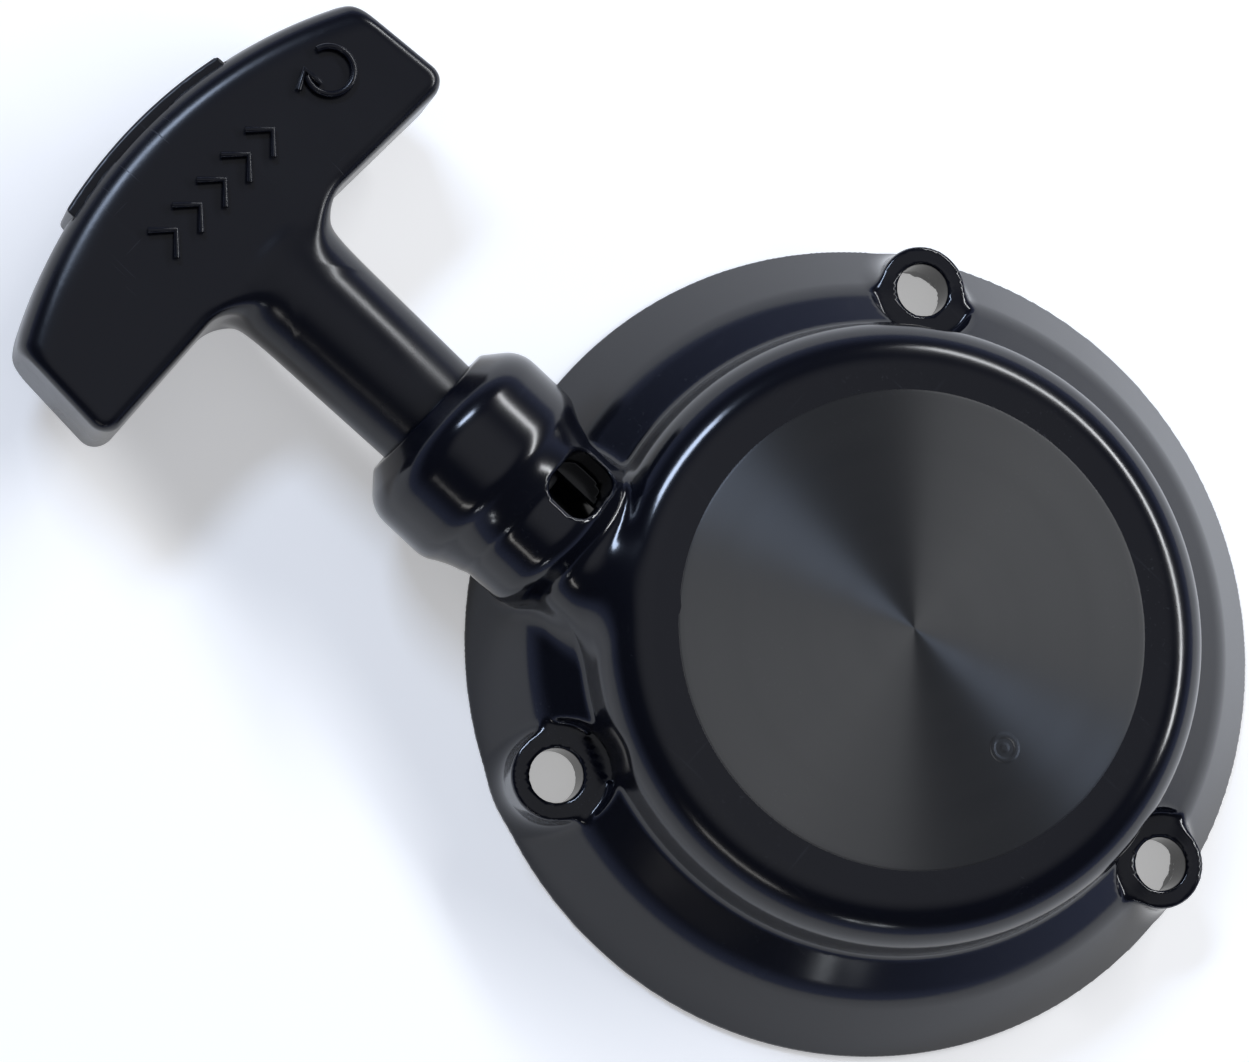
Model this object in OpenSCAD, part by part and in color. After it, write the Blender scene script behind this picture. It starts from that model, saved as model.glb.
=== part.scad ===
// Recoil starter for a small engine: a round cover with a rope outlet, and
// inside it a rope reel, a spiral spring and a pair of swinging pawls.
// Z = 0 is the plane of the three mounting pads. +Z points to the outer face,
// and +X is the way the rope is pulled.

/* [Cover] */
// Outside diameter at the rim
cover_d = 100; // [92:1:120]
// Height of the outer face above the mounting pads
face_h = 18.3; // [17.5:0.1:22]
// How far the rim reaches past the mounting pads
skirt_drop = 5; // [3:0.5:6]
// Wall thickness
wall = 2.2; // [1.8:0.1:2.8]
// Diameter of the shallow turned disc in the face
disc_d = 57.6; // [50:0.2:59]
// Diameter at the foot of the dome
dome_d = 76.8; // [74:0.2:78]
// Height of the flange's top above the pads
flange_h = 9; // [8.4:0.1:9.6]

/* [Mounting] */
// Diameter of the circle that the mounting holes lie on
hole_circle_d = 88; // [86:1:92]
// Mounting hole diameter
hole_d = 6.5; // [5:0.1:7]
// Mounting ear diameter
ear_d = 11; // [10:0.1:12]
// Thickness of the pad under a screw head
pad_t = 5.2; // [4:0.1:5.8]
// Diameter of the room for the screw head
spot_d = 13; // [12:0.1:14]
// Angle of the first hole from the pulling direction
first_hole_a = 64.7; // [60:0.1:70]

/* [Rope and outlet] */
// Rope diameter
rope_d = 3; // [2.5:0.1:3.4]
// Sideways distance from the reel's axis to the rope, which is the middle winding's radius
rope_y = 19; // [18.5:0.1:20]
// Height of the rope above the pads
rope_z = 8.1; // [7.8:0.1:9]
// Distance from the reel's axis to the outlet's mouth
outlet_x = 59.6; // [58:0.2:70]
// Outlet collar diameter
collar_d = 26; // [24:0.2:26]
// Outlet body diameter
outlet_d = 21.2; // [20:0.2:22]
// Depth of the socket that the grip's stem sits in
socket_depth = 9.6; // [8:0.2:10]

/* [Grip] */
// Distance from the reel's axis to the middle of the grip's crown
crown_x = 107.3; // [104:0.5:125]
// Width across the ends of the grip
grip_w = 60.6; // [50:0.2:74]
// Thickness of the grip's bar
bar_t = 15; // [14:0.2:18]
// Depth of the bar at its ends
bar_depth = 15.3; // [13:0.1:17]
// Radius of the crown
crown_r = 62; // [55:1:90]
// Stem diameter at its free end
stem_d = 14.4; // [13:0.1:15]
// Stem diameter at the bar
stem_root_d = 15.9; // [14.5:0.1:16.5]

/* [Reel] */
// Reel flange diameter
reel_d = 53; // [50:0.5:56]
// Width of the rope groove
groove_w = 6.2; // [6:0.1:7]
// Reel flange thickness
reel_flange_t = 1.3; // [1:0.1:1.5]
// Inside diameter of the spring's cup
cup_d = 26.4; // [24:0.1:26.8]
// Diameter of the centre post
post_d = 9; // [8:0.1:9.4]

/* [Pawls] */
// Distance from the reel's axis to a pawl's pivot
pivot_r = 12.5; // [12:0.1:13]
// Pawl length from pivot to tip
pawl_len = 13.6; // [12:0.1:14]
// Pawl thickness
pawl_t = 2.6; // [2:0.1:2.8]
// Pivot pin diameter
pin_d = 3; // [2.5:0.1:3.2]
// Outward swing of a pawl, in degrees
pawl_swing = 25; // [20:1:28]
// Turn of the guide plate that swings the pawls out, in degrees
guide_turn = 20; // [16:1:24]

/* [Spring] */
// Thickness of the spring strip
strip_t = 0.35; // [0.3:0.01:0.5]
// Turns of the spring
spring_turns = 8; // [6:1:9]

/* [Clearances] */
// Radial clearance of a turning fit
run_gap = 0.05; // [0.03:0.01:0.08]
// Gap between parts that must not touch
free_gap = 0.3; // [0.2:0.05:0.4]
// Radial clearance of a piece that sits still in another
seat_gap = 0.05; // [0.02:0.01:0.1]
// Clearance of the rope in its guide
rope_gap = 0.4; // [0.3:0.05:0.6]

/* [Hidden] */
$fn = 96;
eps = 0.01;
far = 200;

// cover
rim_r = cover_d / 2;
rim_land = 0.8;
skirt_in = 6.4;          // how far the skirt leans in on its way up
flange_fall = 4.1;       // how much the flange's top falls towards the rim
flange_round = 12;
foot_round = 2;
dome_lean = 1.5;         // how far the dome's side leans in
shoulder_round = 6;
disc_depth = 0.35;
dome_r = dome_d / 2;
face_r = dome_r - dome_lean;
skirt_top_r = rim_r - skirt_in;
roof_z = face_h - wall;   // underside of the face

// ears
ear_r = ear_d / 2;
hole_ring_r = hole_circle_d / 2;
ear_angles = [for (i = [0:2]) first_hole_a + 120 * i];
stud_room_r = hole_d / 2 + 0.8;
spot_wall = 1.4;          // wall left round the recess over each ear

// ribs under the flange
rib_t = 1.4;
rib_count = 12;
rib_reach = 6.5;
rib_drop = 4.5;

// outlet
rope_r = rope_d / 2;
socket_r = stem_d / 2 + 0.7;
socket_x = outlet_x - socket_depth;
collar_len = 15.4;
collar_x = outlet_x - collar_len;
guide_wall = 6;           // wall between the rope's passage and the socket
passage_r = 5.5;
guide_r = 4.4;
guide_lip_r = 5.6;
guide_lip_t = 1.2;
guide_x = socket_x - guide_wall;
window_len = 6.6;
window_half = 4;
window_y = rope_y - window_half - 0.2;
boss_wall = 1.6;
boss_x = guide_x - window_len - boss_wall;
neck_r = passage_r + wall;

// centre post and the stack on it
post_r = post_d / 2;
post_foot_r = post_r + 2.6;
post_foot_t = 0.4;
groove_z0 = rope_z - groove_w / 2;
groove_z1 = rope_z + groove_w / 2;
reel_z0 = groove_z0 - reel_flange_t;
reel_z1 = groove_z1 + reel_flange_t;
web_t = 2.6;
web_z1 = reel_z0 + web_t;
hub_gap = 1.1;            // how far the hub's sleeve stands out of the web
bushing_z0 = reel_z0 - hub_gap;
bushing_z1 = web_z1 + free_gap;
bushing_t = 1.45;
bushing_r = post_r + run_gap + bushing_t;
sleeve_r = bushing_r + 1.6;
hub_r = rope_y - 1.5 * rope_d + 0.4;
layer_step = rope_d - 0.4;
wound_r = rope_y + layer_step + rope_r;
cup_r = cup_d / 2;
cup_z1 = roof_z - 0.9;
plate_t = 0.6;
plate_z0 = cup_z1 - plate_t - 0.3;
washer_z0 = plate_z0 + plate_t + 0.2;
washer_t = roof_z - post_foot_t - 0.1 - washer_z0;
washer_r = post_r + 3.5;

// spring
strip_z0 = web_z1 + 0.6;
strip_z1 = plate_z0 - 0.3;
spring_r0 = bushing_r + 0.9;
spring_r1 = cup_r - 0.5;
spring_steps = 20;
hook_t = 1.1;
hook_sweep = 50;
hook_depth = 1.6;

// pawls, guide plate and the end of the post
pawl_z1 = reel_z0 - 0.2;
pawl_z0 = pawl_z1 - pawl_t;
pin_r = pin_d / 2;
pawl_eye_r = pin_r + 1.7;
pawl_w = 4.4;
peg_r = 1.1;
peg_reach = 5;
pawl_a = -103;            // way the first pawl points from its pivot
guide_t = 1.2;
guide_z1 = pawl_z0 - 0.4;
guide_z0 = guide_z1 - guide_t;
guide_plate_r = 16.8;
post_end_z = guide_z0 - 0.05;
slot_gap = 0.4;
retainer_t = 0.8;
retainer_z0 = post_end_z - retainer_t;
retainer_r = 7.5;
screw_r = 1.9;
screw_gap = 0.05;
screw_head_r = 3.7;
screw_head_t = 2;
screw_len = 14;

// grip
stem_x0 = socket_x + free_gap;
bar_x0 = crown_x - (crown_r - sqrt(crown_r * crown_r - pow(grip_w / 2, 2))) - bar_depth + 0.3;
bar_fillet = 5;
end_slant = 1.1;
bar_round = 3.4;
crown_round = 5;
knot_room_r = 5;
knot_room_x = crown_x - 12.5;
cap_w = 26;
cap_t = 2.2;
cap_h = 9;
cap_proud = 0.5;
knot_r = 3.3;
rope_x0 = sqrt(pow(wound_r + free_gap, 2) - pow(rope_y - rope_r, 2)) + 0.3;
reel_knot_r = 2.7;
reel_knot_at = rope_y - 0.5;

// Points of the round at corner b of the path a, b, c.
function turn_to(a, b, c, r, n) =
  let (u = (a - b) / norm(a - b),
       v = (c - b) / norm(c - b),
       half = acos(u * v) / 2,
       centre = b + (u + v) / norm(u + v) * r / sin(half),
       p = b + u * r / tan(half),
       q = b + v * r / tan(half),
       a0 = atan2(p[1] - centre[1], p[0] - centre[0]),
       a1 = atan2(q[1] - centre[1], q[0] - centre[0]),
       sweep = (a1 - a0 + 540) % 360 - 180)
  [for (i = [0:n]) centre + r * [cos(a0 + sweep * i / n), sin(a0 + sweep * i / n)]];

// A closed outline from corners [x, y, radius]; a radius of 0 keeps the corner sharp.
function rounded(corners, n = 7) =
  let (k = len(corners))
  [for (i = [0:k - 1])
     let (a = corners[(i + k - 1) % k], b = corners[i], c = corners[(i + 1) % k])
     each b[2] == 0 ? [[b[0], b[1]]]
                    : turn_to([a[0], a[1]], [b[0], b[1]], [c[0], c[1]], b[2], n)];

function polar(r, a) = [r * cos(a), r * sin(a)];
function turned(p, a) = [p[0] * cos(a) - p[1] * sin(a), p[0] * sin(a) + p[1] * cos(a)];

module ring(r_out, r_in, z0, z1) {
  translate([0, 0, z0])
    difference() {
      cylinder(r = r_out, h = z1 - z0);
      translate([0, 0, -eps]) cylinder(r = r_in, h = z1 - z0 + 2 * eps);
    }
}

// Puts a shape drawn about Z on the rope's line, with its Z along +X.
module on_rope(x = 0) {
  translate([x, rope_y, rope_z]) rotate([0, 90, 0]) children();
}

module cover_outline() {
  polygon(rounded([
    [0, -skirt_drop, 0],
    [rim_r, -skirt_drop, 0],
    [rim_r, -skirt_drop + rim_land, 0],
    [skirt_top_r, flange_h - flange_fall, flange_round],
    [dome_r, flange_h, foot_round],
    [face_r, face_h, shoulder_round],
    [0, face_h, 0]
  ]));
}

module cavity_outline() {
  polygon(rounded([
    [0, -skirt_drop - 1, 0],
    [rim_r - wall, -skirt_drop - 1, 0],
    [rim_r - wall, -skirt_drop + rim_land, 0],
    [skirt_top_r - wall, flange_h - flange_fall - wall, 1],
    [dome_r - wall, flange_h - wall, 1],
    [face_r - wall, roof_z, shoulder_round - wall],
    [0, roof_z, 0]
  ], 5));
}

module cavity() {
  rotate_extrude() cavity_outline();
}

module at_ears() {
  for (a = ear_angles)
    rotate([0, 0, a]) translate([hole_ring_r, 0, 0]) children();
}

module outlet_solid() {
  on_rope(hub_r + 10) cylinder(r = neck_r, h = boss_x - hub_r - 9);
  on_rope(boss_x)
    rotate_extrude()
      polygon(rounded([
        [0, 0, 0],
        [outlet_d / 2, 0, 3],
        [outlet_d / 2, collar_x - boss_x + 1, 0],
        [0, collar_x - boss_x + 1, 0]
      ]));
  on_rope(collar_x)
    rotate_extrude()
      polygon(rounded([
        [0, 0, 0],
        [outlet_d / 2, 0, 0],
        [collar_d / 2, 4, 4],
        [collar_d / 2, collar_len - 3.2, 4.5],
        [socket_r + 1.4, collar_len, 0.9],
        [0, collar_len, 0]
      ]));
}

module outlet_room() {
  on_rope(hub_r) cylinder(r = passage_r, h = guide_x - hub_r);
  on_rope(guide_x - eps) cylinder(r = guide_r, h = guide_wall + 2 * eps);
  on_rope(socket_x) cylinder(r = socket_r, h = far);
  translate([guide_x, window_y, rope_z])
    linear_extrude(outlet_d)
      polygon(rounded([
        [0, -window_half, 0.6],
        [0, window_half, 0.6],
        [-window_len, window_half, 1.8],
        [-window_len, -window_half, 2.8]
      ]));
}

module ribs() {
  intersection() {
    for (i = [0:rib_count - 1])
      rotate([0, 0, first_hole_a + 15 + i * 360 / rib_count])
        translate([dome_r - wall - 0.2, -rib_t / 2, flange_h - wall - rib_drop])
          cube([rib_reach, rib_t, rib_drop + wall]);
    rotate_extrude() cover_outline();
  }
}

module housing() {
  color([0.05, 0.055, 0.065]) {
    difference() {
      union() {
        difference() {
          union() {
            rotate_extrude() cover_outline();
            at_ears() translate([0, 0, -skirt_drop + rim_land]) cylinder(r = ear_r, h = pad_t + skirt_drop - rim_land);
            intersection() {
              outlet_solid();
              translate([0, 0, -skirt_drop]) cylinder(r = far, h = far);
            }
          }
          cavity();
        }
        intersection() {
          at_ears() cylinder(r = spot_d / 2 + spot_wall, h = pad_t);
          rotate_extrude() cover_outline();
        }
        ribs();
        translate([0, 0, post_end_z]) cylinder(r = post_r, h = roof_z + eps - post_end_z);
        translate([0, 0, roof_z - post_foot_t]) cylinder(r = post_foot_r, h = post_foot_t + eps);
      }
      at_ears() {
        translate([0, 0, pad_t]) cylinder(d = spot_d, h = far);
        translate([0, 0, -eps]) cylinder(d = hole_d, h = far);
        translate([0, 0, -skirt_drop - eps]) cylinder(r = stud_room_r, h = skirt_drop + eps);
      }
      outlet_room();
      translate([0, 0, face_h - disc_depth]) cylinder(d = disc_d, h = far);
      translate([0, 0, post_end_z - eps]) cylinder(r = screw_r + screw_gap, h = screw_len + 1);
      translate([post_r - hook_depth, -hook_t / 2, strip_z0 - free_gap])
        cube([hook_depth + 1, hook_t, strip_z1 - strip_z0 + 2 * free_gap]);
    }
  }
}

module rope_guide() {
  color([0.75, 0.72, 0.62])
    on_rope(guide_x - guide_lip_t)
      rotate_extrude()
        difference() {
          polygon(rounded([
            [0, 0, 0],
            [guide_lip_r - 0.4, 0, 0.5],
            [guide_lip_r - 0.4, guide_lip_t, 0],
            [guide_r - seat_gap, guide_lip_t, 0],
            [guide_r - seat_gap, guide_lip_t + guide_wall, 0],
            [0, guide_lip_t + guide_wall, 0]
          ]));
          polygon([
            [-1, -1],
            [rope_r + rope_gap + 1.2, -1],
            [rope_r + rope_gap + 1.2, 0],
            [rope_r + rope_gap, guide_lip_t],
            [rope_r + rope_gap, guide_lip_t + guide_wall - 1],
            [rope_r + rope_gap + 0.8, guide_lip_t + guide_wall],
            [rope_r + rope_gap + 0.8, guide_lip_t + guide_wall + 1],
            [-1, guide_lip_t + guide_wall + 1]
          ]);
        }
}

module bar_plan() {
  polygon(rounded([
    [bar_x0, -grip_w / 2, 2.2],
    [bar_x0 + bar_depth, -grip_w / 2 + end_slant, 2.2],
    [crown_x + 4, -grip_w / 2 + end_slant + 6, 0],
    [crown_x + 4, grip_w / 2 - end_slant - 6, 0],
    [bar_x0 + bar_depth, grip_w / 2 - end_slant, 2.2],
    [bar_x0, grip_w / 2, 2.2]
  ]));
  difference() {
    translate([bar_x0 - bar_fillet, -stem_root_d / 2 - bar_fillet])
      square([bar_fillet + 1, stem_root_d + 2 * bar_fillet]);
    for (s = [-1, 1])
      translate([bar_x0 - bar_fillet, s * (stem_root_d / 2 + bar_fillet)]) circle(r = bar_fillet);
  }
}

// The bar's thickness and rounded crown, swept round the crown's centre.
module bar_sweep() {
  translate([crown_x - crown_r, 0, 0])
    rotate_extrude($fn = 200)
      polygon(rounded([
        [0, -bar_t / 2, 0],
        [crown_r, -bar_t / 2, crown_round],
        [crown_r, bar_t / 2, crown_round],
        [0, bar_t / 2, 0]
      ]));
}

module knot_room() {
  translate([knot_room_x, -knot_room_r, -knot_room_r])
    cube([far, 2 * knot_room_r, 2 * knot_room_r]);
}

module grip() {
  color([0.05, 0.055, 0.065])
    difference() {
      translate([0, rope_y, rope_z]) {
        intersection() {
          translate([0, 0, -bar_t]) linear_extrude(2 * bar_t) bar_plan();
          bar_sweep();
        }
        rotate([0, 90, 0])
          rotate_extrude()
            polygon(rounded([
              [0, stem_x0, 0],
              [stem_d / 2, stem_x0, 1.2],
              [stem_root_d / 2, bar_x0 + 1, 0],
              [0, bar_x0 + 1, 0]
            ]));
      }
      on_rope(stem_x0 - 1) cylinder(r = rope_r + 0.3, h = far);
      translate([0, rope_y, rope_z]) {
        knot_room();
        cap_blank(seat_gap);
      }
    }
}

// The cap's body, which follows the crown.
module cap_blank(grow = 0) {
  intersection() {
    translate([0, 0, -cap_h / 2 - grow])
      linear_extrude(cap_h + 2 * grow)
        difference() {
          translate([crown_x - crown_r, 0]) circle(r = crown_r + cap_proud + grow * 20, $fn = 200);
          translate([crown_x - crown_r, 0]) circle(r = crown_r - cap_t - grow, $fn = 200);
        }
    translate([crown_x - crown_r, -cap_w / 2 - grow, -cap_h]) cube([far, cap_w + 2 * grow, 2 * cap_h]);
  }
}

module grip_cap() {
  color([0.07, 0.075, 0.09]) translate([0, rope_y, rope_z]) cap_blank();
}

module grip_washer() {
  color([0.75, 0.76, 0.78])
    on_rope(knot_room_x)
      difference() {
        cylinder(r = knot_room_r - 0.6, h = 0.8);
        translate([0, 0, -eps]) cylinder(r = rope_r + 0.2, h = 1);
      }
}

module grip_knot() {
  color([0.85, 0.85, 0.82])
    on_rope(knot_room_x + 0.8)
      rotate_extrude()
        polygon(rounded([[0, 0, 0], [knot_r, 0, 1.6], [knot_r, 6.4, 2.4], [0, 6.4, 0]]));
}

module rope_lead() {
  color([0.85, 0.85, 0.82]) on_rope(rope_x0) cylinder(d = rope_d, h = knot_room_x + 0.8 - rope_x0);
}

module rope_wound() {
  color([0.85, 0.85, 0.82]) ring(wound_r, hub_r, groove_z0 + 0.05, groove_z1 - 0.05);
}

module reel_knot() {
  color([0.85, 0.85, 0.82])
    rotate([0, 0, 150])
      translate([reel_knot_at, 0, 0]) {
        translate([0, 0, groove_z1 - 0.05]) cylinder(r = rope_r - 0.1, h = reel_flange_t + 0.2);
        translate([0, 0, reel_z1])
          rotate_extrude()
            polygon(rounded([[0, 0, 0], [reel_knot_r, 0, 0.9], [reel_knot_r, 2.9, 1.2], [0, 2.9, 0]]));
      }
}

module reel() {
  color([0.16, 0.17, 0.18])
    difference() {
      union() {
        ring(reel_d / 2, hub_r - 1, reel_z0, groove_z0);
        ring(reel_d / 2, hub_r - 1, groove_z1, reel_z1);
        ring(hub_r, cup_r, reel_z0, cup_z1);
        ring(cup_r + eps, bushing_r + seat_gap, reel_z0, web_z1);
        ring(sleeve_r, bushing_r + seat_gap, bushing_z0, reel_z0 + eps);
      }
      rotate([0, 0, 150]) translate([reel_knot_at, 0, groove_z1 - 1]) cylinder(r = rope_r, h = 3);
      for (s = [0, 180])
        rotate([0, 0, s]) translate([pivot_r, 0, reel_z0 - 1]) cylinder(r = pin_r + seat_gap / 5, h = web_t + 2);
      rotate([0, 0, spring_end_a() + 2])
        translate([cup_r - 1, -hook_t, strip_z0 - free_gap])
          cube([hub_r - cup_r + 0.7, 2 * hook_t, cup_z1]);
      for (i = [0:5])
        rotate([0, 0, 30 + 60 * i]) translate([(hub_r + reel_d / 2) / 2 + 2, 0, reel_z0 - 1]) cylinder(r = 2, h = web_t);
    }
}

module reel_bushing() {
  color([0.72, 0.55, 0.3]) ring(bushing_r, post_r + run_gap, bushing_z0, bushing_z1);
}

// Middle line of the spring strip: out of the post's notch, round the turns, and into the cup's notch.
function spring_end_a() = (spring_turns * 360) % 360 + hook_sweep;
function spring_at(t) = spring_r0 + (spring_r1 - spring_r0) * t / spring_turns;
function spring_path() = concat(
  [polar(post_r - hook_depth + 0.3, 0), polar(post_r + 0.5, 0)],
  [for (i = [1:4]) polar(post_r + 0.9 + (spring_r0 - post_r - 0.9) * i / 5, hook_sweep * i / 5)],
  [for (i = [0:spring_turns * spring_steps])
     polar(spring_at(i / spring_steps), i * 360 / spring_steps + hook_sweep)],
  [polar(hub_r - 0.5, spring_end_a() + 2)]);

// Point of the strip's side, s to the left or right of point i of the path.
function beside(path, i, s) =
  let (a = path[max(i - 1, 0)],
       b = path[min(i + 1, len(path) - 1)],
       way = (b - a) / norm(b - a))
  path[i] + s * [-way[1], way[0]];

module recoil_spring() {
  path = spring_path();
  last = len(path) - 1;
  color([0.45, 0.47, 0.5])
    translate([0, 0, strip_z0])
      linear_extrude(strip_z1 - strip_z0)
        polygon(concat(
          [for (i = [0:last]) beside(path, i, strip_t / 2)],
          [for (i = [last:-1:0]) beside(path, i, -strip_t / 2)]));
}

module spring_plate() {
  color([0.7, 0.71, 0.73]) ring(cup_r - seat_gap, post_r + run_gap, plate_z0, plate_z0 + plate_t);
}

module thrust_washer() {
  color([0.86, 0.84, 0.76]) ring(washer_r, post_r + seat_gap, washer_z0, washer_z0 + washer_t);
}

module pawl_plan() {
  tip = polar(pawl_len, pawl_a);
  side = polar(pawl_w / 2, pawl_a + 90);
  difference() {
    union() {
      circle(r = pawl_eye_r);
      polygon([
        side,
        tip * 0.82 + side * 0.95,
        tip + side * 0.35,
        tip - side * 0.15,
        tip * 0.72 - side,
        -side
      ]);
    }
    circle(r = pin_r + run_gap);
  }
}

module pawl() {
  color([0.62, 0.6, 0.56])
    translate([pivot_r, 0, 0]) {
      translate([0, 0, pawl_z0]) linear_extrude(pawl_t) pawl_plan();
      translate(concat(polar(peg_reach, pawl_a), [guide_z0 + 0.1])) cylinder(r = peg_r, h = pawl_z0 + 0.5 - guide_z0);
    }
}

module pawl_1() {
  pawl();
}

module pawl_2() {
  rotate([0, 0, 180]) pawl();
}

module pawl_pins() {
  color([0.8, 0.81, 0.83])
    for (s = [0, 180])
      rotate([0, 0, s]) translate([pivot_r, 0, pawl_z0 - 0.15]) cylinder(r = pin_r, h = web_z1 - pawl_z0);
}

// Where a pawl's peg lies, seen from the guide plate, when the plate has turned by share of its travel.
function peg_at(share) =
  turned([pivot_r, 0] + polar(peg_reach, pawl_a + pawl_swing * share), -guide_turn * share);

module guide_plate() {
  p = peg_at(0);
  q = peg_at(1);
  mid = (p + q) / 2;
  slot_r = peg_r + slot_gap;
  color([0.78, 0.79, 0.8])
    translate([0, 0, guide_z0])
      linear_extrude(guide_t)
        difference() {
          circle(r = guide_plate_r);
          circle(r = post_r + run_gap);
          for (s = [0, 180])
            rotate(s) {
              translate(p) circle(r = slot_r);
              translate(q) circle(r = slot_r);
              translate(mid) rotate(atan2(q[1] - p[1], q[0] - p[0])) square([norm(q - p), 2 * slot_r], center = true);
            }
          for (s = [80, 260])
            rotate(s) translate([12, 0]) circle(r = 3);
        }
}

module friction_spring() {
  spring_h = bushing_z0 - guide_z1;
  color([0.6, 0.62, 0.65])
    rotate_extrude()
      polygon([
        [post_r + 0.15, guide_z1 + spring_h - 0.75],
        [post_r + 0.15, guide_z1 + spring_h - 0.2],
        [post_r + 3.4, guide_z1 + 0.6],
        [post_r + 3.4, guide_z1 + 0.05]
      ]);
}

module retainer_washer() {
  color([0.74, 0.75, 0.77]) ring(retainer_r, screw_r + 0.2, retainer_z0, post_end_z);
}

module centre_screw() {
  color([0.66, 0.67, 0.7])
    difference() {
      union() {
        translate([0, 0, retainer_z0 - eps]) cylinder(r = screw_r, h = screw_len);
        translate([0, 0, retainer_z0 - screw_head_t])
          rotate_extrude()
            polygon(rounded([
              [0, 0, 0],
              [screw_head_r, 0, 1.4],
              [screw_head_r, screw_head_t, 0],
              [0, screw_head_t, 0]
            ]));
      }
      for (a = [0, 90])
        rotate([0, 0, a]) translate([-2.2, -0.45, retainer_z0 - screw_head_t - eps]) cube([4.4, 0.9, 1.2]);
    }
}

housing();
rope_guide();
grip();
grip_cap();
grip_washer();
grip_knot();
rope_lead();
rope_wound();
reel_knot();
reel();
reel_bushing();
recoil_spring();
spring_plate();
thrust_washer();
pawl_1();
pawl_2();
pawl_pins();
guide_plate();
friction_spring();
retainer_washer();
centre_screw();
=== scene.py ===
import math

import bpy
import numpy as np
from mathutils import Matrix, Vector


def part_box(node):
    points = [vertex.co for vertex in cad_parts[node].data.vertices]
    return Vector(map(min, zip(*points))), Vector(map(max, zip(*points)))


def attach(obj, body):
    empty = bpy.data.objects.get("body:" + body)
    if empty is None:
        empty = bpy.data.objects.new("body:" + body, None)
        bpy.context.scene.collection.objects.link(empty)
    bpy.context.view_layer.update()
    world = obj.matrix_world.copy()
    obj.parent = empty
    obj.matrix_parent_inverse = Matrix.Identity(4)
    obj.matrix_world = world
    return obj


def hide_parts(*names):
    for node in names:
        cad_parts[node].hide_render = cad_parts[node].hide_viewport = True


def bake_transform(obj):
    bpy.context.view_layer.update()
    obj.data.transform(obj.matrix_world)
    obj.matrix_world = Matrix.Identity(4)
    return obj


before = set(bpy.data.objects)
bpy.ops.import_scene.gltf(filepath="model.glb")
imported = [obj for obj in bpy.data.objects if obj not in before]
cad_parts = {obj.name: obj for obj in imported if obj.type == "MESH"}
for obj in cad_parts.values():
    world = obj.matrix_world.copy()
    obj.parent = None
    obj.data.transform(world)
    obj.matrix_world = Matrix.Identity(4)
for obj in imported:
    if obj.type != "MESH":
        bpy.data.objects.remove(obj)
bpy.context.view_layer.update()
mm = 0.001
turn = 2 * math.pi


def boxInMm(node):
    low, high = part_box(node)
    return np.array(low) * 1000, np.array(high) * 1000


coverLow, coverHigh = boxInMm("housing")
gripLow, gripHigh = boxInMm("grip")
leadLow, leadHigh = boxInMm("rope_lead")
woundLow, woundHigh = boxInMm("rope_wound")
ropeY, ropeZ = (leadLow[1] + leadHigh[1]) / 2, (leadLow[2] + leadHigh[2]) / 2
ropeR = (leadHigh[2] - leadLow[2]) / 2
rimR, rimZ, outletX = coverHigh[1], coverLow[2], coverHigh[0]
collarR = coverHigh[2] - ropeZ
postR = -boxInMm("reel_bushing")[0][0] - 1.5
postEndZ = boxInMm("retainer_washer")[1][2]
print("frame read")


# ---- shaping tools: a moulding is drawn as distances, then skinned ----

def joined(a, b, blend):
    h = np.maximum(blend - np.abs(a - b), 0) / blend
    return np.minimum(a, b) - h * h * blend / 4


def shared(a, b, blend):
    return -joined(-a, -b, blend)


def without(a, b, blend):
    return shared(a, -b, blend)


def roundShared(a, b, radius):  # both, with a true round of that radius where they meet
    return np.minimum(np.maximum(a + radius, b + radius), 0) + np.hypot(
        np.maximum(a + radius, 0), np.maximum(b + radius, 0)) - radius


def rod(u, v, w, radius, start, end):  # a cylinder along w
    return np.maximum(np.hypot(u, v) - radius, np.maximum(start - w, w - end))


def roundedPath(corners, steps=40):
    path = []
    for i, (bx, by, radius) in enumerate(corners):
        three = (corners[i - 1], corners[i], corners[(i + 1) % len(corners)])
        a, b, c = (np.array(p[:2], float) for p in three)
        if radius == 0:
            path.append(b)
            continue
        u, v = (a - b) / np.linalg.norm(a - b), (c - b) / np.linalg.norm(c - b)
        half = math.acos(float(u @ v)) / 2
        centre = b + (u + v) / np.linalg.norm(u + v) * radius / math.sin(half)
        p, q = b + u * radius / math.tan(half) - centre, b + v * radius / math.tan(half) - centre
        first = math.atan2(p[1], p[0])
        sweep = (math.atan2(q[1], q[0]) - first + math.pi) % turn - math.pi
        for s in range(steps + 1):
            angle = first + sweep * s / steps
            path.append(centre + radius * np.array([math.cos(angle), math.sin(angle)]))
    return np.array(path)


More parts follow.
